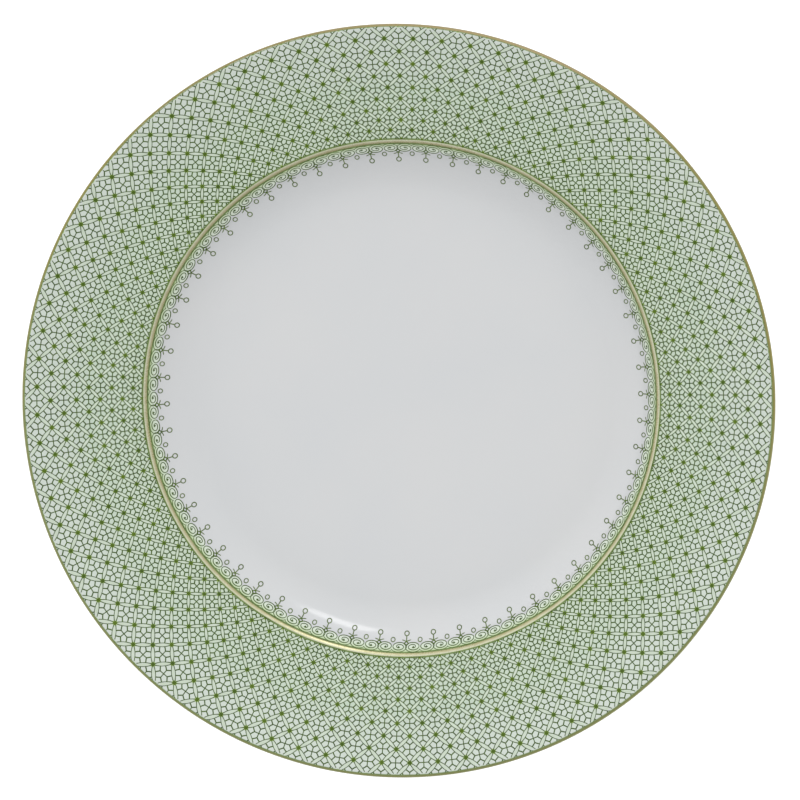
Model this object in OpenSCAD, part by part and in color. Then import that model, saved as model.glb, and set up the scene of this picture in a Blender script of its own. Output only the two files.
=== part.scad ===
// Rimmed china dinner plate: a fired porcelain body, its glaze, and the printed and gilded
// decoration that lies on the glaze. Every layer is a ring turned about the plate's axis.
// Origin: centre of the foot ring on the table. +Z up, millimetres.

/* [Plate] */
// Diameter over the gilded edge
plate_d = 267; // [255:1:280]
// Diameter at the corner between the well wall and the rim
verge_d = 181.2; // [176:0.1:184]
// Depth of the well, from the verge corner down to the floor
well_depth = 11; // [10:0.5:12]
// Steepest slope of the well wall, degrees
wall_slope = 58; // [55:1:60]
// Radius of the curve from the floor up the wall
wall_r = 20; // [16:1:21]
// Radius of the rounded verge
verge_r = 4; // [2:0.5:4]
// Slope of the inner half of the rim, degrees
rim_slope_in = 12.5; // [10:0.5:14]
// Slope of the outer half of the rim, degrees
rim_slope_out = 17; // [15:0.5:20]
// Thickness of the body at the lip
lip_t = 2; // [1.8:0.1:2.6]
// Thickness of the body under the well floor
floor_t = 3.2; // [2.8:0.1:4]

/* [Foot] */
// Mean diameter of the foot ring
foot_d = 152.4; // [148:0.1:156]
// Width of the flat that stands on the table
foot_w = 2.4; // [2:0.1:3]
// Depth of the recess inside the foot ring
foot_recess = 2.6; // [2.2:0.1:3]
// How far each side of the foot ring leans out from the flat to its root
foot_flare = 1.2; // [0.8:0.1:1.4]

/* [Glaze] */
// Thickness of the glaze
glaze_t = 0.3; // [0.2:0.05:0.4]
// Height above the table at which the glaze stops on the foot ring
glaze_line = 0.9; // [0.6:0.1:1.2]

/* [Decoration] */
// Thickness of the printed colour and the gold
print_t = 0.15; // [0.1:0.05:0.2]
// Width, seen from above, of the gold that shows on the edge
edge_gold_w = 0.8; // [0.5:0.1:2]
// Mean diameter of the gold line on the verge
verge_gold_d = 182; // [181:0.1:183]
// Width of the gold line on the verge
verge_gold_w = 1.3; // [1:0.1:1.6]
// Width of each green line beside the verge gold
green_line_w = 0.5; // [0.3:0.1:0.6]
// Width of the scroll border below the verge
scroll_w = 4.6; // [4:0.1:5]
// Width of the picot fringe below the scroll border
picot_w = 2.7; // [2:0.1:3]

/* [Hidden] */

$fn = 180;
// largest turn between two points of a rounded corner, degrees
arc_step = 4;
// radius of the gentle hollow that joins the two halves of the rim
rim_r = 300;
// under the verge: distance out from the verge corner, depth below it, and fillet radius
back_out = 2.4;
back_drop = 3.5;
back_r = 8;
// bulge of the wall's outer side: distance out from the foot ring's root, height above it
bulge_out = 6.4;
bulge_rise = 1.6;
bulge_r = 13;
foot_edge_r = 0.7;
foot_root_r = 1.5;

floor_z = foot_recess + floor_t;
verge_z = floor_z + well_depth;
verge_x = verge_d / 2;
wall_foot_x = verge_x - well_depth / tan(wall_slope);

// the lip is cut square to the rim and rounded on both corners
lip_r = 0.47 * lip_t;
edge_x = plate_d / 2 - glaze_t - print_t;
lip_top_x = edge_x + lip_r * (cos(rim_slope_out) + sin(rim_slope_out) - 1)
            - lip_t * sin(rim_slope_out);
rim_mid_x = (verge_x + lip_top_x) / 2;
rim_mid_z = verge_z + (rim_mid_x - verge_x) * tan(rim_slope_in);
lip_top_z = rim_mid_z + (lip_top_x - rim_mid_x) * tan(rim_slope_out);
lip_low_x = lip_top_x + lip_t * sin(rim_slope_out);
lip_low_z = lip_top_z - lip_t * cos(rim_slope_out);

foot_out_x = foot_d / 2 + foot_w / 2;
foot_in_x = foot_d / 2 - foot_w / 2;
root_z = foot_recess + 0.7;
root_out_x = foot_out_x + foot_flare;
root_in_x = foot_in_x - foot_flare;

// points where the glaze stops on the foot ring's two sides
stop_out = [foot_out_x + foot_flare * glaze_line / root_z, glaze_line];
stop_in = [foot_in_x - foot_flare * glaze_line / foot_recess, glaze_line];

// corners of the body's outline as [radius from the axis, height, corner radius]
outer_corners = [
    [0, floor_z, 0],
    [wall_foot_x, floor_z, wall_r],
    [verge_x, verge_z, verge_r],
    [rim_mid_x, rim_mid_z, rim_r],
    [lip_top_x, lip_top_z, lip_r],
    [lip_low_x, lip_low_z, lip_r],
    [verge_x + back_out, verge_z - back_drop, back_r],
    [root_out_x + bulge_out, root_z + bulge_rise, bulge_r],
    [root_out_x, root_z, foot_root_r]
];
foot_corners = [
    [foot_out_x, 0, foot_edge_r],
    [foot_in_x, 0, foot_edge_r]
];
recess_corners = [
    [root_in_x, foot_recess, foot_root_r],
    [0, foot_recess, 0]
];

// radii, seen from above, at which one decoration ends and the next begins
gold_out_x = (verge_gold_d + verge_gold_w) / 2;
gold_in_x = (verge_gold_d - verge_gold_w) / 2;
lace_in_x = gold_out_x + green_line_w;
lace_out_x = plate_d / 2 - edge_gold_w;
scroll_out_x = gold_in_x - green_line_w;
picot_out_x = scroll_out_x - scroll_w;
picot_in_x = picot_out_x - picot_w;

function xy(p) = [p[0], p[1]];
function heading(a, b) = let (d = xy(b) - xy(a)) atan2(d[1], d[0]);
// turn at a corner, in -180..180
function turn(a, b, c) = let (t = heading(b, c) - heading(a, b))
    t > 180 ? t - 360 : t < -180 ? t + 360 : t;
// the outline runs clockwise, so its outside is on its left
function outward(h) = [-sin(h), cos(h)];

// an outline's samples as [point, outward normal], with its corners rounded
function rounded(c) = [
    for (i = [0:len(c) - 1])
        if (i == 0) [xy(c[0]), outward(heading(c[0], c[1]))]
        else if (i == len(c) - 1) [xy(c[i]), outward(heading(c[i - 1], c[i]))]
        else each corner(c[i - 1], c[i], c[i + 1])
];
function corner(a, b, c) = let (
    t = turn(a, b, c),
    h = heading(a, b),
    side = sign(t) * outward(h),
    start = xy(b) - b[2] * tan(abs(t) / 2) * [cos(h), sin(h)],
    centre = start + b[2] * side,
    n = ceil(abs(t) / arc_step)
) [for (k = [0:n]) let (g = h + t * k / n)
    [centre - sign(t) * b[2] * outward(g), outward(g)]];

// samples of a path where its radius from the axis is between lo and hi, with cut ends
function between(path, lo, hi) = [
    for (i = [0:len(path) - 2]) each stretch(path[i], path[i + 1], lo, hi)
];
function stretch(a, b, lo, hi) = let (xa = a[0][0], xb = b[0][0]) [
    if (xa >= lo && xa <= hi) a,
    for (cut = xa < xb ? [lo, hi] : [hi, lo])
        if ((xa - cut) * (xb - cut) < 0) a + (b - a) * (cut - xa) / (xb - xa)
];
function raised(path, t) = [for (s = path) s[0] + t * s[1]];
function reversed(v) = [for (i = [len(v) - 1:-1:0]) v[i]];

body_path = rounded(concat(outer_corners, foot_corners, recess_corners));
coat_path = rounded(concat(outer_corners, [stop_out]));
recess_path = rounded(concat([stop_in], recess_corners));
// the front alone, as far as the square cut of the lip
front_path = rounded([for (i = [0:5]) outer_corners[i]]);

// a layer from height t0 to height t1 above the body along a path
module skin(path, t0, t1)
    rotate_extrude() polygon(concat(raised(path, t0), reversed(raised(path, t1))));

// printed colour or gold on the glazed front, between two radii
module print_ring(lo, hi) skin(between(front_path, lo, hi), glaze_t, glaze_t + print_t);

module porcelain_body() {
    color("ivory") rotate_extrude() polygon(raised(body_path, 0));
}

module glaze_coat() {
    color("white") skin(coat_path, 0, glaze_t);
}

module foot_recess_glaze() {
    color("white") skin(recess_path, 0, glaze_t);
}

module edge_gold_band() {
    color("darkgoldenrod") skin(between(coat_path, lace_out_x, plate_d), glaze_t, glaze_t + print_t);
}

module rim_lace_print() {
    color("darkseagreen") print_ring(lace_in_x, lace_out_x);
}

module verge_green_line_outer() {
    color("olivedrab") print_ring(gold_out_x, lace_in_x);
}

module verge_gold_line() {
    color("goldenrod") print_ring(gold_in_x, gold_out_x);
}

module verge_green_line_inner() {
    color("olivedrab") print_ring(scroll_out_x, gold_in_x);
}

module scroll_border_print() {
    color("darkseagreen") print_ring(picot_out_x, scroll_out_x);
}

module picot_fringe_print() {
    color("yellowgreen") print_ring(picot_in_x, picot_out_x);
}

porcelain_body();
glaze_coat();
foot_recess_glaze();
edge_gold_band();
rim_lace_print();
verge_green_line_outer();
verge_gold_line();
verge_green_line_inner();
scroll_border_print();
picot_fringe_print();
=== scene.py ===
"""A rimmed china dinner plate: glazed porcelain with a green lace print and gilding.

Lengths are in millimetres until place() turns them into metres. Decoration is drawn on the
glaze in (angle, log of the radius), where a small square stays square.
"""

import math

import bpy
import numpy as np
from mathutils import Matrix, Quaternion, Vector


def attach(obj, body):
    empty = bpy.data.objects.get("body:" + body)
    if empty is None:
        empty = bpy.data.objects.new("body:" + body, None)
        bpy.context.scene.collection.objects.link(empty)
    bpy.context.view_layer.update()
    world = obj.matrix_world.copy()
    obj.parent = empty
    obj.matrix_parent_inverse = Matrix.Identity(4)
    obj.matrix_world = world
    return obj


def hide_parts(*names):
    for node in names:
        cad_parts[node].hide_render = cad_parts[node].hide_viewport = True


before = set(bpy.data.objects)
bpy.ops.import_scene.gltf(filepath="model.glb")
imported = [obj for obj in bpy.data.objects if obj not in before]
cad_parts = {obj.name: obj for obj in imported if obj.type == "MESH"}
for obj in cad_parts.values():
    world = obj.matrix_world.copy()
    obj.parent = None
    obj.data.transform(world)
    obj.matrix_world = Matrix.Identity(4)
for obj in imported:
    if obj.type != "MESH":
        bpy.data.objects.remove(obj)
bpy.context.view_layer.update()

MM = 0.001
TAU = 2 * math.pi

# ---------------------------------------------------------------- the plate, as in the CAD
PLATE_R = 133.5
VERGE_X = 90.6
WELL_DEPTH = 11.0
WALL_SLOPE = math.radians(58)
WALL_R = 20.0
VERGE_R = 4.0
RIM_SLOPE_IN = math.radians(12.5)
RIM_SLOPE_OUT = math.radians(17)
RIM_R = 300.0
LIP_T = 2.0
FLOOR_T = 3.2
FOOT_R = 76.2
FOOT_W = 2.4
FOOT_RECESS = 2.6
FOOT_FLARE = 1.2
FOOT_EDGE_R = 0.7
FOOT_ROOT_R = 1.5
BACK = (2.4, 3.5, 8.0)      # under the verge: out from it, down from it, fillet radius
BULGE = (6.4, 1.6, 13.0)    # outer side of the wall: out from the foot's root, up, radius
GLAZE_T = 0.3
GLAZE_LINE = 0.9
PRINT_T = 0.15
SIDES = 312                 # of the turned body and glazes
TURN_STEP = math.radians(4)     # between two samples of a rounded corner
LENGTH_STEP = 2.0               # the same, as a length
SPACING = 4.0                   # between two samples of a straight stretch

# ---------------------------------------------------------------- the decoration
LACE_REPEATS = 80
LACE_ROW0 = 95.11               # radius of the lace's first whole row of knots
LACE_GROWTH = 1.0381            # each row's radius over the last one's
LACE_ROWS = range(-1, 10)
VERGE_GOLD = (90.3, 91.58)
LINE_OUT = (91.58, 92.1)
LINE_IN = (89.86, 90.3)
LACE_IN, LACE_OUT = 92.0, 132.7
LACE_EDGE = (132.3, 132.65)     # the green line that ends the lace
EDGE_GOLD_IN = 132.55
SCROLL_R = 88.45                # radius of the ring of scroll centres
PICOTS = 56
PICOT_PHASE = math.radians(1.06)
RING_R = 83.95                  # radius of the ring of picot eyes
SMALL_RING_R = 86.1
SINK = 0.02                     # how far enamel and gold reach into the glaze

# how far each kind of mark stands above the glaze
WASH_RISE = 0.012
BAR_FILL_RISE = 0.019
HALO_RISE = 0.022
CROSS_RISE = 0.035
SQUARE_RISE = 0.04
BAR_RISE = 0.045
LINE_RISE = 0.05
RING_RISE = 0.055
KNOT_RISE = 0.08
GOLD_RISE = 0.1


# ================================================================ outlines
def body_corners():
    """The body's outline, clockwise from the middle of the well: radius, height, rounding."""
    floor_z = FOOT_RECESS + FLOOR_T
    verge_z = floor_z + WELL_DEPTH
    wall_foot = VERGE_X - WELL_DEPTH / math.tan(WALL_SLOPE)
    lip_r = 0.47 * LIP_T
    sin_out, cos_out = math.sin(RIM_SLOPE_OUT), math.cos(RIM_SLOPE_OUT)
    edge_x = PLATE_R - GLAZE_T - PRINT_T
    lip_x = edge_x + lip_r * (cos_out + sin_out - 1) - LIP_T * sin_out
    mid_x = (VERGE_X + lip_x) / 2
    mid_z = verge_z + (mid_x - VERGE_X) * math.tan(RIM_SLOPE_IN)
    lip_z = mid_z + (lip_x - mid_x) * math.tan(RIM_SLOPE_OUT)
    foot_out, foot_in = FOOT_R + FOOT_W / 2, FOOT_R - FOOT_W / 2
    root_z = FOOT_RECESS + 0.7
    root_x = foot_out + FOOT_FLARE
    front = [
        (0, floor_z, 0),
        (wall_foot, floor_z, WALL_R),
        (VERGE_X, verge_z, VERGE_R),
        (mid_x, mid_z, RIM_R),
        (lip_x, lip_z, lip_r),
    ]
    back = [
        (lip_x + LIP_T * sin_out, lip_z - LIP_T * cos_out, lip_r),
        (VERGE_X + BACK[0], verge_z - BACK[1], BACK[2]),
        (root_x + BULGE[0], root_z + BULGE[1], BULGE[2]),
        (root_x, root_z, FOOT_ROOT_R),
    ]
    foot = [(foot_out, 0, FOOT_EDGE_R), (foot_in, 0, FOOT_EDGE_R)]
    recess = [(foot_in - FOOT_FLARE, FOOT_RECESS, FOOT_ROOT_R), (0, FOOT_RECESS, 0)]
    stop_out = (foot_out + FOOT_FLARE * GLAZE_LINE / root_z, GLAZE_LINE, 0)
    stop_in = (foot_in - FOOT_FLARE * GLAZE_LINE / FOOT_RECESS, GLAZE_LINE, 0)
    return front, back, foot, recess, stop_out, stop_in


def rounded(corners):
    """Samples (radius, height, normal) of an outline with its corners rounded."""
    points = [np.array(c[:2], float) for c in corners]
    headings = [math.atan2(*(b - a)[::-1]) for a, b in zip(points, points[1:])]
    rows = [(*points[0], -math.sin(headings[0]), math.cos(headings[0]))]
    for i in range(1, len(corners) - 1):
        h, r = headings[i - 1], corners[i][2]
        turn = (headings[i] - h + math.pi) % TAU - math.pi
        side = math.copysign(1, turn)
        start = points[i] - r * math.tan(abs(turn) / 2) * np.array([math.cos(h), math.sin(h)])
        centre = start + side * r * np.array([-math.sin(h), math.cos(h)])
        n = math.ceil(max(abs(turn) / TURN_STEP, abs(turn) * r / LENGTH_STEP))
        for k in range(n + 1):
            g = h + turn * k / n
            normal = np.array([-math.sin(g), math.cos(g)])
            rows.append((*(centre - side * r * normal), *normal))
    rows.append((*points[-1], -math.sin(headings[-1]), math.cos(headings[-1])))
    return np.array(rows)


class Outline:
    """An outline raised by lift, and what lies along it at an arc length s."""

    def __init__(self, corners, lift=0.0):
        rows = rounded(corners)
        rows[:, :2] += lift * rows[:, 2:]
        s = self.lengths(rows)
        marks = [np.linspace(a, b, max(2, math.ceil((b - a) / SPACING) + 1))
                 for a, b in zip(s, s[1:])]
        marks = np.unique(np.round(np.concatenate(marks), 6))
        self.rows = np.column_stack([np.interp(marks, s, rows[:, c]) for c in range(4)])
        self.s = marks

    @staticmethod
    def lengths(rows):
        return np.concatenate([[0], np.cumsum(np.hypot(*np.diff(rows[:, :2], axis=0).T))])

    def at(self, s):
        """Radius, height and normal at arc lengths s."""
        return [np.interp(s, self.s, self.rows[:, c]) for c in range(4)]

    def s_of(self, radius):
        """Arc length on the front at a radius from the axis."""
        crown = int(np.argmax(self.rows[:, 0]))
        return np.interp(radius, self.rows[:crown + 1, 0], self.s[:crown + 1])


FRONT, BACKSIDE, FOOT, RECESS, STOP_OUT, STOP_IN = body_corners()
BODY = Outline(FRONT + BACKSIDE + FOOT + RECESS)
COAT = Outline(FRONT + BACKSIDE + [STOP_OUT], lift=GLAZE_T)
RECESS_COAT = Outline([STOP_IN] + RECESS, lift=GLAZE_T)


def place(angle, s, height):
    """Points in metres at an angle and an arc length on the glaze, raised by height."""
    radius, z, out, up = COAT.at(s)
    r = radius + height * out
    points = np.stack([r * np.cos(angle), r * np.sin(angle), z + height * up], axis=-1)
    return points * MM


def wavy(radius, amount, lobes, phase=0.0):
    """An arc length on the front that wanders a little round a radius, as a brushed line does."""
    def at(angle):
        drift = sum(np.sin(n * angle + phase + n) / (1 + i) for i, n in enumerate(lobes))
        return COAT.s_of(radius + amount * drift)
    return at


def steady(radius):
    """An arc length on the front that keeps to a radius."""
    return wavy(radius, 0, (1,))


# ================================================================ meshes
SHARP_EDGE = 0.7            # radians between two faces that meet in an edge left sharp


def build(name, points, faces, material, replaces):
    """A piece that rides on the plate. Its faces are turned outwards by its signed volume."""
    points = np.asarray(points, float).reshape(-1, 3)
    faces = [np.asarray(f) for f in (faces if isinstance(faces, list) else [faces])]
    volume = 0.0
    for f in faces:
        a = points[f[:, 0]]
        for k in range(1, f.shape[1] - 1):
            volume += np.einsum("ij,ij->", a, np.cross(points[f[:, k]], points[f[:, k + 1]]))
    if volume < 0:
        faces = [f[:, ::-1] for f in faces]
    mesh = bpy.data.meshes.new(name)
    mesh.from_pydata(points.tolist(), [], [row for f in faces for row in f.tolist()])
    mesh.update()
    mesh.shade_smooth()
    mesh.set_sharp_from_angle(angle=SHARP_EDGE)
    obj = bpy.data.objects.new(name, mesh)
    bpy.context.scene.collection.objects.link(obj)
    mesh.materials.append(material)
    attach(obj, "root")
    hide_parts(*replaces)
    return obj


def turned(name, section, material, replaces):
    """A solid turned from a section whose two ends lie on the axis."""
    angle = np.arange(SIDES) * TAU / SIDES
    ring = np.asarray(section[1:-1]) * MM
    points = np.stack([
        ring[None, :, 0] * np.cos(angle)[:, None],
        ring[None, :, 0] * np.sin(angle)[:, None],
        np.broadcast_to(ring[None, :, 1], (SIDES, len(ring))),
    ], axis=-1).reshape(-1, 3)
    poles = [(0, 0, section[0][1] * MM), (0, 0, section[-1][1] * MM)]
    n = len(ring)
    i, j = np.meshgrid(np.arange(SIDES), np.arange(n - 1), indexing="ij")
    here, there = i * n + j, (i + 1) % SIDES * n + j
    quads = np.stack([here, here + 1, there + 1, there], axis=-1).reshape(-1, 4)
    first = np.arange(SIDES) * n
    after = (np.arange(SIDES) + 1) % SIDES * n
    total = SIDES * n
    fans = np.concatenate([
        np.stack([np.full(SIDES, total), first, after], axis=-1),
        np.stack([np.full(SIDES, total + 1), after + n - 1, first + n - 1], axis=-1),
    ])
    return build(name, np.concatenate([points, poles]), [quads, fans], material, replaces)


def ring_solid(name, grid, material, replaces):
    """A ring from a grid of points: one closed section per angle."""
    around, n = grid.shape[:2]
    i, j = np.meshgrid(np.arange(around), np.arange(n), indexing="ij")
    there, after = (i + 1) % around, (j + 1) % n
    quads = np.stack([i * n + j, i * n + after, there * n + after, there * n + j], axis=-1)
    return build(name, grid, quads.reshape(-1, 4), material, replaces)


BAND_LIP = 0.08             # width of the rounded edge of a painted band


def band(name, start, end, height, material, slot, replaces, around=1440, across=9):
    """A painted band between two arc lengths, each a function of the angle. Its samples bunch up
    towards both edges, where the plate curves most."""
    angle = np.arange(around) * TAU / around
    low, high = start(angle)[:, None], end(angle)[:, None]
    edge = BAND_LIP / np.mean(high - low)
    inner = 0.5 - 0.5 * np.cos(np.linspace(0, math.pi, across - 2))
    t = np.concatenate([[0], edge + (1 - 2 * edge) * inner, [1]])
    crown = np.sqrt(np.clip(1 - (2 * t - 1) ** 6, 0, 1))
    s = np.concatenate([low + (high - low) * t, high + (low - high) * t], axis=1)
    lift = np.concatenate([height * crown - SINK * (crown == 0), np.full(across, -SINK)])
    lift[across], lift[-1] = -1.5 * SINK, -1.5 * SINK
    grid = place(angle[:, None] + 0 * s, s, lift[None, :] + 0 * s)
    return ring_solid(name, grid, material, replaces)


def ribbons(name, lines, width, height, material, slot, replaces):
    """Raised enamel lines. Each is one row of (angle, log radius) points. width is one number, or
    one per point."""
    lines = np.asarray(lines, float)
    count, n = lines.shape[:2]
    along = np.gradient(lines, axis=1)
    along /= np.linalg.norm(along, axis=2, keepdims=True)
    across = np.stack([-along[..., 1], along[..., 0]], axis=-1)
    sides = np.array([-0.5, -0.36, 0.36, 0.5])
    lifts = np.array([-SINK, height, height, -SINK])
    share = (np.asarray(width) / np.exp(lines[..., 1]))[..., None] * sides
    spots = lines[:, :, None, :] + share[..., None] * across[:, :, None, :]
    points = place(spots[..., 0], COAT.s_of(np.exp(spots[..., 1])), lifts + 0 * share)
    row, k, c = np.meshgrid(np.arange(count), np.arange(n - 1), np.arange(4), indexing="ij")
    base, turn = (row * n + k) * 4, (c + 1) % 4
    quads = np.stack([base + c, base + turn, base + 4 + turn, base + 4 + c], axis=-1)
    starts = np.arange(count)[:, None] * n * 4
    caps = np.concatenate([starts + [3, 2, 1, 0], starts + (n - 1) * 4 + [0, 1, 2, 3]])
    faces = np.concatenate([quads.reshape(-1, 4), caps])
    return build(name, points, faces, material, replaces)


def dots(name, spots, radius, height, material, slot, replaces, sides=12, lobe=0.0,
         limits=(0, 1e9)):
    """Low domes of enamel at (angle, log radius) spots. lobe pulls each into a four-lobed knot,
    and limits are the radii that none may reach past."""
    spots = np.asarray(spots, float)
    spin = np.arange(sides) * TAU / sides
    reach = radius * (1 + lobe * np.cos(4 * (spin - TAU / 8)))
    share = reach / np.exp(spots[:, 1])[:, None]
    rings, lifts = (1.0, 0.86, 0.5), (-SINK, 0.6 * height, 0.95 * height)
    around = [np.stack([spots[:, :1] + f * share * np.cos(spin),
                        spots[:, 1:] + f * share * np.sin(spin)], axis=-1) for f in rings]
    spread = np.concatenate(around + [spots[:, None], spots[:, None]], axis=1)
    lift = np.concatenate([np.full(sides, z) for z in lifts] + [[height], [-SINK]])
    r = np.clip(np.exp(spread[..., 1]), *limits)
    points = place(spread[..., 0], COAT.s_of(r), lift[None, :] + 0 * r)
    n, q = points.shape[1], np.arange(sides)
    after = (q + 1) % sides
    walls = [np.stack([q + a, after + a, after + a + sides, q + a + sides], axis=-1)
             for a in (0, sides)]
    walls = np.concatenate(walls)
    lids = np.concatenate([
        np.stack([q + 2 * sides, after + 2 * sides, np.full(sides, 3 * sides)], axis=-1),
        np.stack([after, q, np.full(sides, 3 * sides + 1)], axis=-1),
    ])
    first = np.arange(len(spots))[:, None, None] * n
    return build(name, points, [(walls + first).reshape(-1, 4), (lids + first).reshape(-1, 3)],
                 material, replaces)


# ================================================================ materials
def shader(name, **values):
    """A material and its Principled shader, with plain values on the shader's own sockets."""
    material = bpy.data.materials.new(name)
    material.use_nodes = True
    bsdf = material.node_tree.nodes["Principled BSDF"]
    for key, value in values.items():
        bsdf.inputs[key.replace("_", " ")].default_value = value
    return material, bsdf


def noise(material, scale, detail=2.0, roughness=0.5):
    """The value of a noise texture in the plate's own coordinates. scale is per metre."""
    tree = material.node_tree
    coords = tree.nodes.new("ShaderNodeTexCoord")
    texture = tree.nodes.new("ShaderNodeTexNoise")
    texture.inputs["Scale"].default_value = scale
    texture.inputs["Detail"].default_value = detail
    texture.inputs["Roughness"].default_value = roughness
    tree.links.new(coords.outputs["Object"], texture.inputs["Vector"])
    return texture.outputs["Fac"]


def ramp(material, value, stops):
    """Colours along a value: stops are (position, linear colour)."""
    node = material.node_tree.nodes.new("ShaderNodeValToRGB")
    elements = node.color_ramp.elements
    while len(elements) < len(stops):
        elements.new(0.5)
    for element, (position, colour) in zip(elements, stops):
        element.position, element.color = position, (*colour, 1)
    material.node_tree.links.new(value, node.inputs["Fac"])
    return node.outputs["Color"]


def between(material, value, low, high):
    """A value from 0..1 mapped to low..high."""
    node = material.node_tree.nodes.new("ShaderNodeMapRange")
    node.inputs["To Min"].default_value, node.inputs["To Max"].default_value = low, high
    material.node_tree.links.new(value, node.inputs["Value"])
    return node.outputs["Result"]


def bump(material, value, height, normal=None):
    """A bump of a height in metres, over another one where normal is given."""
    node = material.node_tree.nodes.new("ShaderNodeBump")
    node.inputs["Strength"].default_value = 1.0
    node.inputs["Distance"].default_value = height
    material.node_tree.links.new(value, node.inputs["Height"])
    if normal is not None:
        material.node_tree.links.new(normal, node.inputs["Normal"])
    return node.outputs["Normal"]


def srgb(r, g, b):
    """A linear colour from 0..255 screen values."""
    return tuple(c / 12.92 if c <= 0.04045 else ((c + 0.055) / 1.055) ** 2.4
                 for c in (r / 255, g / 255, b / 255))


def join(material, value, bsdf, socket):
    material.node_tree.links.new(value, bsdf.inputs[socket])


def radius_in_mm(material):
    """Distance from the plate's axis, in millimetres."""
    tree = material.node_tree
    coords = tree.nodes.new("ShaderNodeTexCoord")
    flat = tree.nodes.new("ShaderNodeVectorMath")
    flat.operation = "MULTIPLY"
    flat.inputs[1].default_value = (1000, 1000, 0)
    length = tree.nodes.new("ShaderNodeVectorMath")
    length.operation = "LENGTH"
    tree.links.new(coords.outputs["Object"], flat.inputs[0])
    tree.links.new(flat.outputs["Vector"], length.inputs[0])
    return length.outputs["Value"]


def between_radii(low, high):
    """A trend that runs from 0 to 1 between two radii, and on past them."""
    def trend(material):
        tree = material.node_tree
        reach = tree.nodes.new("ShaderNodeMapRange")
        reach.clamp = False
        reach.inputs["From Min"].default_value = low
        reach.inputs["From Max"].default_value = high
        tree.links.new(radius_in_mm(material), reach.inputs["Value"])
        return reach.outputs["Result"]
    return trend


def to_one_side(azimuth, amount):
    """A trend that rises by an amount from the plate's axis to its edge at an azimuth."""
    def trend(material):
        tree = material.node_tree
        coords = tree.nodes.new("ShaderNodeTexCoord")
        side = tree.nodes.new("ShaderNodeVectorMath")
        side.operation = "DOT_PRODUCT"
        slope = amount / (PLATE_R * MM)
        side.inputs[1].default_value = (slope * math.cos(azimuth), slope * math.sin(azimuth), 0)
        tree.links.new(coords.outputs["Object"], side.inputs[0])
        return side.outputs["Value"]
    return trend


def glaze_material():
    material, bsdf = shader("porcelain_glaze", Coat_Weight=0.5, Coat_Roughness=0.1)
    cloud = noise(material, 22, 3)
    tint = ramp(material, cloud, [(0.3, srgb(202, 204, 206)), (0.7, srgb(205, 206, 207))])
    join(material, tint, bsdf, "Base Color")
    join(material, between(material, noise(material, 140, 2), 0.14, 0.22), bsdf, "Roughness")
    swell = bump(material, noise(material, 45, 1), 0.00002)
    peel = bump(material, noise(material, 900, 2), 0.000002, swell)
    join(material, peel, bsdf, "Normal")
    return material


def bisque_material():
    material, bsdf = shader("bare_bisque")
    grain = noise(material, 2600, 4, 0.7)
    tint = ramp(material, grain, [(0.25, srgb(196, 190, 176)), (0.45, srgb(222, 218, 206)),
                                  (0.75, srgb(232, 229, 219))])
    join(material, tint, bsdf, "Base Color")
    join(material, between(material, noise(material, 700, 3), 0.7, 0.95), bsdf, "Roughness")
    join(material, bump(material, grain, 0.00004), bsdf, "Normal")
    return material


def enamel_material(name, dark, mid, light):
    """A fired enamel print whose strength varies a little from place to place."""
    material, bsdf = shader(name, Specular_IOR_Level=0.3)
    cloud = noise(material, 260, 3, 0.6)
    tint = ramp(material, cloud, [(0.32, dark), (0.5, mid), (0.68, light)])
    join(material, tint, bsdf, "Base Color")
    join(material, between(material, noise(material, 1500, 2), 0.25, 0.4), bsdf, "Roughness")
    join(material, bump(material, noise(material, 4000, 2), 0.000006), bsdf, "Normal")
    return material


def wash_material(name, start, end, stops):
    """A thin wash of green that runs from one tint to the next between two radii."""
    material, bsdf = shader(name, Coat_Weight=0.4, Coat_Roughness=0.06)
    reach = material.node_tree.nodes.new("ShaderNodeMapRange")
    reach.inputs["From Min"].default_value = start
    reach.inputs["From Max"].default_value = end
    material.node_tree.links.new(radius_in_mm(material), reach.inputs["Value"])
    tint = ramp(material, reach.outputs["Result"], stops)
    join(material, tint, bsdf, "Base Color")
    join(material, between(material, noise(material, 600, 3), 0.14, 0.26), bsdf, "Roughness")
    join(material, bump(material, noise(material, 1200, 2), 0.000003), bsdf, "Normal")
    return material


def gold_material(name, wear_scale, stops, rough, trend):
    """Gold whose tint follows its wear and a trend over the plate. The trend is painted light and
    shade.
    """
    material, bsdf = shader(name, Metallic=1.0)
    tree = material.node_tree
    wear_and_painted_light = tree.nodes.new("ShaderNodeMath")
    wear_and_painted_light.operation = "MULTIPLY_ADD"
    wear_and_painted_light.inputs[1].default_value = 0.5
    tree.links.new(noise(material, wear_scale, 4, 0.65), wear_and_painted_light.inputs[0])
    # the trend adds painted light and shade to the wear
    tree.links.new(trend(material), wear_and_painted_light.inputs[2])
    join(material, ramp(material, wear_and_painted_light.outputs["Value"], stops), bsdf, "Base Color")
    dull = between(material, noise(material, 900, 3), rough, rough + 0.15)
    join(material, dull, bsdf, "Roughness")
    join(material, bump(material, noise(material, 1800, 3), 0.00001), bsdf, "Normal")
    return material


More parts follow.
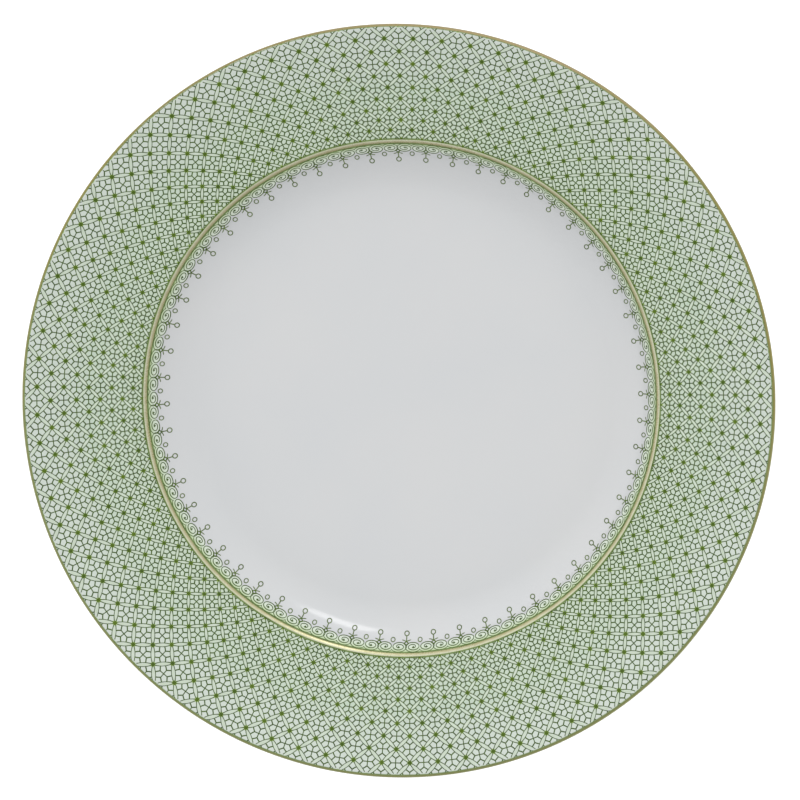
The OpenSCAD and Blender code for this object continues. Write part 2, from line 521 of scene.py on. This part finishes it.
GLAZE = glaze_material()
BISQUE = bisque_material()
INK = enamel_material("lace_green", srgb(49, 74, 7), srgb(59, 84, 14), srgb(71, 96, 24))
PALE_INK = enamel_material("picot_green", srgb(74, 92, 42), srgb(88, 106, 56),
                           srgb(106, 124, 76))
KNOT = enamel_material("knot_green", srgb(56, 82, 0), srgb(66, 92, 0), srgb(80, 106, 4))
LINE = enamel_material("line_green", srgb(82, 104, 46), srgb(98, 121, 62), srgb(116, 138, 80))
PALE_LINE = enamel_material("edge_line_green", srgb(100, 124, 70), srgb(118, 140, 90),
                            srgb(136, 156, 110))
LACE_WASH = wash_material("lace_wash", LACE_IN, LACE_OUT, [
    (0.0, srgb(187, 202, 180)), (0.2, srgb(192, 206, 188)), (0.44, srgb(189, 204, 186)),
    (0.6, srgb(195, 206, 194)), (1.0, srgb(199, 208, 199))])
BAR_WHITE = enamel_material("bar_white", srgb(187, 200, 179), srgb(192, 204, 185),
                            srgb(198, 209, 193))
HALO = enamel_material("halo_green", srgb(142, 170, 80), srgb(152, 180, 92),
                       srgb(166, 192, 110))
BORDER_WASH = wash_material("border_wash", SCROLL_R - 1.5, LINE_IN[0], [
    (0.0, srgb(217, 223, 214)), (0.5, srgb(211, 222, 204)), (0.8, srgb(200, 216, 184)),
    (1.0, srgb(188, 207, 158))])
# The verge gilding runs from dark olive on its inner half to pale beige on its outer half: painted
# shade and painted highlight of the verge's rounding, over its wear.
GOLD = gold_material("burnished_gold_painted_shade", 420, [
    (0.15, srgb(150, 144, 103)), (0.5, srgb(170, 166, 132)), (0.8, srgb(196, 196, 169)),
    (0.95, srgb(196, 200, 169))], 0.2, between_radii(VERGE_GOLD[0], VERGE_GOLD[1] + 0.45))
# The edge gilding is painted lighter and warmer towards azimuth 78°, the side the key light comes
# from: painted light, over its wear.
EDGE_GOLD = gold_material("edge_gold_worn_and_painted_light", 26, [
    (0.1, srgb(132, 136, 90)), (0.45, srgb(138, 133, 80)), (0.6, srgb(136, 131, 84)),
    (0.78, srgb(150, 138, 102))], 0.4, to_one_side(math.radians(78), 0.5))


# ================================================================ porcelain and glaze
TAPER = 0.4                 # length over which a glaze layer thins out at a free end


def coat_section(outline, tapers):
    """A glaze layer's section: its face, and the body's face behind it. It thins out at each end
    that tapers lists."""
    s, face = outline.s, outline.rows
    depth = np.full(len(s), GLAZE_T)
    for end in tapers:
        gap = np.abs(s - s[end]) / TAPER
        round_off = np.sqrt(np.clip(1 - (1 - np.minimum(gap, 1)) ** 2, 0, 1))
        depth = np.minimum(depth, GLAZE_T * round_off)
    behind = face[:, :2] - GLAZE_T * face[:, 2:]
    front = behind + depth[:, None] * face[:, 2:]
    return np.concatenate([front, behind[::-1]])


def make_porcelain():
    turned("porcelain_body_fired", BODY.rows[:, :2], BISQUE, ["porcelain_body"])
    turned("glaze_front_and_back", coat_section(COAT, [-1]), GLAZE, ["glaze_coat"])
    recess = coat_section(RECESS_COAT, [0])
    half = len(recess) // 2
    ordered = np.concatenate([recess[:half][::-1], recess[half:][::-1]])
    turned("glaze_in_foot_recess", ordered, GLAZE, ["foot_recess_glaze"])


# ================================================================ the lace on the rim
RIM_LACE = ("green_enamel", ["rim_lace_print"])     # finish, and the CAD node stood for
LACE_DU = math.log(LACE_GROWTH)     # half a cell, outwards
LACE_DA = math.pi / LACE_REPEATS    # half a cell, round the rim


def lace_drift(angle):
    """The transfer is laid by hand: how far its repeats lie round from their even places."""
    swing = -0.47 + 0.79 * np.cos(angle - math.radians(160)) + 0.11 * np.cos(2 * angle + 1.26)
    return np.radians(swing)


def lace_rows(first, shift):
    """One spot per repeat in every row, as (angle, log radius). first moves the rows inwards."""
    rows = []
    for k in LACE_ROWS:
        angle = (2 * np.arange(LACE_REPEATS) + (k + shift) % 2) * LACE_DA
        level = math.log(LACE_ROW0) + (k - first) * LACE_DU
        rows.append(np.column_stack([angle, np.full(LACE_REPEATS, level)]))
    return np.concatenate(rows)


def drifted(shapes, drift):
    shapes[..., 0] += drift(shapes[..., 0])
    return shapes


def in_cells(shapes):
    """Lines or spots given in the unit square of a cell, repeated in every cell."""
    shapes = np.asarray(shapes, float)
    across, up = np.array([LACE_DA, LACE_DU]), np.array([-LACE_DA, LACE_DU])
    local = shapes[..., :1] * across + shapes[..., 1:] * up
    cells = lace_rows(1, 0).reshape((-1,) + (1,) * (local.ndim - 1) + (2,))
    return drifted((cells + local[None]).reshape((-1,) + local.shape[1:]), lace_drift)


def four_ways(line):
    """A line in a cell with its mirror images in the cell's two middle lines."""
    line = np.asarray(line, float)
    return [np.column_stack([abs(a - line[:, 0]), abs(b - line[:, 1])])
            for a in (0, 1) for b in (0, 1)]


def clipped(lines, low, high):
    """Lines cut off where they leave the band between two radii."""
    lines = np.asarray(lines, float)
    t = np.linspace(0, 1, lines.shape[1])
    low, high = math.log(low), math.log(high)
    inside = (lines[..., 1] >= low) & (lines[..., 1] <= high)
    kept = [lines[inside.all(axis=1)]]
    fine = np.linspace(0, 1, 201)
    for line in lines[inside.any(axis=1) & ~inside.all(axis=1)]:
        u = np.interp(fine, t, line[:, 1])
        good = fine[(u >= low) & (u <= high)]
        if len(good) < 5:
            continue
        cut = np.linspace(good[0], good[-1], len(t))
        kept.append(np.column_stack([np.interp(cut, t, line[:, c]) for c in (0, 1)])[None])
    return np.concatenate(kept)


SPINDLE = 0.101             # half the width of the bar along each side of a cell
CORNER = 0.338              # side of the small square in each corner of a cell


def bar_half(t):
    """Half the width of a bar at a share t of its length."""
    return SPINDLE * np.sin(math.pi * t) ** 0.7


def make_lace():
    band("lace_ground_wash", steady(LACE_IN), steady(LACE_OUT), WASH_RISE, LACE_WASH,
         *RIM_LACE, around=640, across=75)

    t = np.linspace(0.03, 0.97, 8)
    bars = []
    for a in (0, 1):
        bars.append(np.column_stack([t, abs(a - bar_half(t))]))
        bars.append(np.column_stack([abs(a - bar_half(t)), t]))
    ribbons("lace_bar_outlines", clipped(in_cells(bars), LACE_IN, LACE_OUT),
            0.285 + 0.15 * np.abs(2 * t - 1) ** 1.5, BAR_RISE, INK, *RIM_LACE)

    t = np.linspace(0.12, 0.88, 7)
    fills = clipped(in_cells([np.column_stack(pair) for pair in ((t, 0 * t), (0 * t, t))]),
                    LACE_IN, LACE_OUT)
    half = bar_half(t) * math.hypot(LACE_DA, LACE_DU) * np.exp(fills[..., 1])
    ribbons("lace_bar_fills", fills, 1.3 * half, BAR_FILL_RISE, BAR_WHITE, *RIM_LACE)

    side = [(0.095, 0.375), (0.16, 0.358), (0.24, 0.347), (CORNER, CORNER)]
    squares = four_ways(side) + four_ways(np.array(side)[:, ::-1])
    ribbons("lace_corner_squares", clipped(in_cells(squares), LACE_IN, LACE_OUT), 0.495,
            SQUARE_RISE, INK, *RIM_LACE)

    arm = np.column_stack([np.linspace(CORNER - 0.01, 0.5, 3)] * 2)
    ribbons("lace_cell_crosses", clipped(in_cells(four_ways(arm)), LACE_IN, LACE_OUT), 0.42,
            CROSS_RISE, INK, *RIM_LACE)

    spots = in_cells([(0.5, 0.5)])
    keep = (np.exp(spots[:, 1]) > LACE_IN + 0.3) & (np.exp(spots[:, 1]) < LACE_OUT - 0.3)
    dots("lace_cross_centres", spots[keep], 0.23, LINE_RISE, INK, *RIM_LACE, sides=8)

    knots = drifted(lace_rows(0, 1), lace_drift)
    limits = (LACE_IN - 0.3, LACE_OUT)
    dots("lace_knot_halos", knots, 1.1, HALO_RISE, HALO, *RIM_LACE, limits=limits)
    dots("lace_knots", knots, 0.66, KNOT_RISE, KNOT, *RIM_LACE, sides=16, lobe=0.06, limits=limits)


# ================================================================ scrolls and picots
SCROLLS = ("green_enamel", ["scroll_border_print"])
FRINGE = ("green_enamel", ["picot_fringe_print"])


def border_drift(angle):
    """The border's own unevenness, as the lace's."""
    swing = 0.04 + 0.66 * np.cos(angle - 2.86) + 0.41 * np.cos(2 * angle + 0.2)
    return np.radians(swing)


def around_picots(shapes):
    """Shapes in mm about a picot's head, x along the ring and y to the rim, at every picot."""
    shapes = np.asarray(shapes, float)
    angle = PICOT_PHASE + np.arange(PICOTS) * TAU / PICOTS
    start = np.column_stack([angle, np.full(PICOTS, math.log(SCROLL_R))])
    start = start.reshape((-1,) + (1,) * (shapes.ndim - 1) + (2,))
    shapes = (start + shapes[None] / SCROLL_R).reshape((-1,) + shapes.shape[1:])
    return drifted(shapes, border_drift)


def level(radius):
    """The y, in around_picots(), of a radius."""
    return SCROLL_R * math.log(radius / SCROLL_R)


def both_sides(line):
    line = np.asarray(line, float)
    return [line, line * [-1, 1]]


HALF_UNIT = TAU * SCROLL_R / PICOTS / 2     # from a picot to the next small ring
SCROLL_X = HALF_UNIT / 2


def circle(x, y, radius):
    turn = np.linspace(0, TAU, 21)
    return np.column_stack([x + radius * np.cos(turn), y + radius * np.sin(turn)])


def scroll_foot(angle):
    """Arc length of the scrolls' lower edge at an angle."""
    unit = (angle - border_drift(angle) - PICOT_PHASE) * SCROLL_R / HALF_UNIT
    x = np.abs(unit % 1 - 0.5) * 2
    return COAT.s_of(SCROLL_R - 0.1 - 1.35 * np.sqrt(1 - 0.98 * x ** 2))


def make_border():
    band("scroll_ground_wash", scroll_foot, steady(LINE_IN[0] + 0.1), WASH_RISE, BORDER_WASH,
         *SCROLLS, around=1792, across=19)

    # n counts a spiral's turns. Its half width grows ever more slowly, its half height evenly.
    n = np.linspace(0.1, 2.42, 72)
    wide, tall = 0.08 + 1.72 * n - 0.21 * n ** 2, 0.66 * n + 0.2
    spiral = np.column_stack([wide * np.cos(TAU * n) - SCROLL_X, tall * np.sin(TAU * n) - 0.13])
    ribbons("scroll_spirals", around_picots(both_sides(spiral)),
            np.interp(n, (2.0, 2.15, 2.42), (0.32, 0.24, 0.2)), LINE_RISE, INK, *SCROLLS)
    hearts = [(SCROLL_X + 0.15, -0.05), (-SCROLL_X - 0.15, -0.05)]
    dots("scroll_hearts", around_picots(hearts), 0.3, RING_RISE, INK, *SCROLLS)
    ribbons("small_rings", around_picots([circle(HALF_UNIT, level(SMALL_RING_R), 0.74)]), 0.37,
            RING_RISE, PALE_INK, *SCROLLS)

    head = [(0, -0.45), (0.42, -0.85), (0.95, -1.15), (0.42, -1.5), (0, -1.85)]
    ribbons("picot_diamonds", around_picots(both_sides(head)), 0.42, RING_RISE, KNOT, *FRINGE)
    leaf = [(0.15, -1.9), (0.6, -2.08), (1.1, -2.26), (1.65, -2.36)]
    ribbons("picot_leaves", around_picots(both_sides(leaf)), [0.34, 0.34, 0.38, 0.26], BAR_RISE,
            PALE_INK, *FRINGE)
    stem = np.column_stack([np.zeros(5), np.linspace(-1.8, level(RING_R) + 0.75, 5)])
    ribbons("picot_stems", around_picots([stem]), 0.42, LINE_RISE, PALE_INK, *FRINGE)
    ribbons("picot_eyes", around_picots([circle(0, level(RING_R), 0.83)]), 0.4, RING_RISE,
            PALE_INK, *FRINGE)


# ================================================================ lines and gilding
def make_lines():
    band("lace_edge_line", wavy(LACE_EDGE[0], 0.09, (1, 6, 13, 31), -1.17), steady(LACE_EDGE[1]),
         SQUARE_RISE, PALE_LINE, *RIM_LACE, across=5)
    band("verge_line_rim_side", steady(LINE_OUT[0] - 0.1), wavy(LINE_OUT[1], 0.03, (5, 11, 23)),
         LINE_RISE, LINE, "green_enamel", ["verge_green_line_outer"], across=5)
    band("verge_line_well_side", wavy(LINE_IN[0], 0.03, (7, 19)), steady(LINE_IN[1] + 0.1),
         LINE_RISE, LINE, "green_enamel", ["verge_green_line_inner"], across=5)
    band("verge_gilding", wavy(VERGE_GOLD[0], 0.03, (3, 8, 17)),
         wavy(VERGE_GOLD[1], 0.03, (4, 9, 21), 2.0), GOLD_RISE, GOLD, "gilding",
         ["verge_gold_line"], across=13)
    crown = COAT.s[int(np.argmax(COAT.rows[:, 0]))]
    back_end = crown * 2 - COAT.s_of(EDGE_GOLD_IN) + 0.6
    band("edge_gilding", wavy(EDGE_GOLD_IN, 0.09, (1, 3, 7, 16), -1.17),
         lambda angle: back_end + 0.12 * np.sin(5 * angle) + 0.08 * np.sin(13 * angle + 1),
         GOLD_RISE, EDGE_GOLD, "gilding", ["edge_gold_band"], across=25)


# ================================================================ stage
SKY = 0.79                  # the studio's brightness overhead, before the swing
SKY_LOW = 0.36              # how much brighter it is at the horizon
SKY_SWING = 0.43            # how much brighter it is on one side
SKY_AZIMUTH, SKY_OFF_AXIS = 103, 60


def towards(azimuth, off_axis):
    """A direction from its azimuth and its angle from straight up, in degrees."""
    a, t = math.radians(azimuth), math.radians(off_axis)
    return math.sin(t) * math.cos(a), math.sin(t) * math.sin(a), math.cos(t)


def make_floor():
    floor_mesh = bpy.data.meshes.new("studio_floor")
    r, z = 3.0, -0.0002
    floor_mesh.from_pydata([(-r, -r, z), (r, -r, z), (r, r, z), (-r, r, z)], [], [(0, 1, 2, 3)])
    floor = bpy.data.objects.new("studio_floor", floor_mesh)
    bpy.context.scene.collection.objects.link(floor)
    material, bsdf = shader("floor_paper", Roughness=0.9, Emission_Strength=0.35,
                            Emission_Color=(1, 1, 1, 1))
    tint = ramp(material, noise(material, 3, 2), [(0.3, (0.93,) * 3), (0.7, (0.95,) * 3)])
    join(material, tint, bsdf, "Base Color")
    floor_mesh.materials.append(material)


def make_sky():
    """Light from all round: SKY * (1 + SKY_LOW * (1 - z * z) + SKY_SWING * the way to one side)."""
    world = bpy.data.worlds.new("soft_studio")
    world.use_nodes = True
    tree = world.node_tree
    coords = tree.nodes.new("ShaderNodeTexCoord")
    side = tree.nodes.new("ShaderNodeVectorMath")
    side.operation = "DOT_PRODUCT"
    side.inputs[1].default_value = towards(SKY_AZIMUTH, SKY_OFF_AXIS)
    height = tree.nodes.new("ShaderNodeSeparateXYZ")
    square = tree.nodes.new("ShaderNodeMath")
    square.operation = "MULTIPLY"
    overhead = tree.nodes.new("ShaderNodeMath")
    strength = tree.nodes.new("ShaderNodeMath")
    overhead.operation = strength.operation = "MULTIPLY_ADD"
    overhead.inputs[1].default_value = -SKY * SKY_LOW
    overhead.inputs[2].default_value = SKY * (1 + SKY_LOW)
    strength.inputs[1].default_value = SKY * SKY_SWING
    tree.links.new(coords.outputs["Generated"], side.inputs[0])
    tree.links.new(coords.outputs["Generated"], height.inputs[0])
    tree.links.new(height.outputs["Z"], square.inputs[0])
    tree.links.new(height.outputs["Z"], square.inputs[1])
    tree.links.new(square.outputs["Value"], overhead.inputs[0])
    tree.links.new(side.outputs["Value"], strength.inputs[0])
    tree.links.new(overhead.outputs["Value"], strength.inputs[2])
    background = tree.nodes["Background"]
    background.inputs["Color"].default_value = (1.0, 1.0, 1.0, 1)
    tree.links.new(strength.outputs["Value"], background.inputs["Strength"])
    bpy.context.scene.world = world


def softbox(name, azimuth, off_axis, distance, size, power, roll):
    """A rectangular area light that faces the plate, its long side rolled from level."""
    light = bpy.data.lights.new(name, "AREA")
    light.shape, light.energy = "RECTANGLE", power
    light.size, light.size_y = size
    obj = bpy.data.objects.new(name, light)
    way = Vector(towards(azimuth, off_axis))
    obj.location = way * distance
    turn = Quaternion((0, 0, 1), math.radians(roll))
    obj.rotation_euler = (way.to_track_quat("Z", "Y") @ turn).to_euler()
    bpy.context.scene.collection.objects.link(obj)


VIEW_TILT = math.radians(7.9)
VIEW_AZIMUTH = math.radians(42)
VIEW_WIDTH = 282.0          # what the picture spans
AIM = (0.42, 0.24, 26.9)    # the rim's centre stands a little left of and below the picture's


def make_camera():
    camera = bpy.data.cameras.new("camera")
    camera.type = "ORTHO"
    camera.ortho_scale = VIEW_WIDTH * MM
    camera.clip_end = 10
    obj = bpy.data.objects.new("camera", camera)
    way = Vector((math.sin(VIEW_TILT) * math.cos(VIEW_AZIMUTH),
                  math.sin(VIEW_TILT) * math.sin(VIEW_AZIMUTH), math.cos(VIEW_TILT)))
    obj.location = Vector(AIM) * MM + way * 1.2
    obj.rotation_euler = Vector((0, 0, 1)).rotation_difference(way).to_euler()
    bpy.context.scene.collection.objects.link(obj)
    bpy.context.scene.camera = obj


make_porcelain()
make_lace()
make_border()
make_lines()
make_floor()
make_sky()
softbox("key_strip", azimuth=79.5, off_axis=57, distance=1.5, size=(0.5, 0.28), power=1.6,
        roll=-30)
make_camera()
bpy.context.scene.view_settings.view_transform = "Standard"
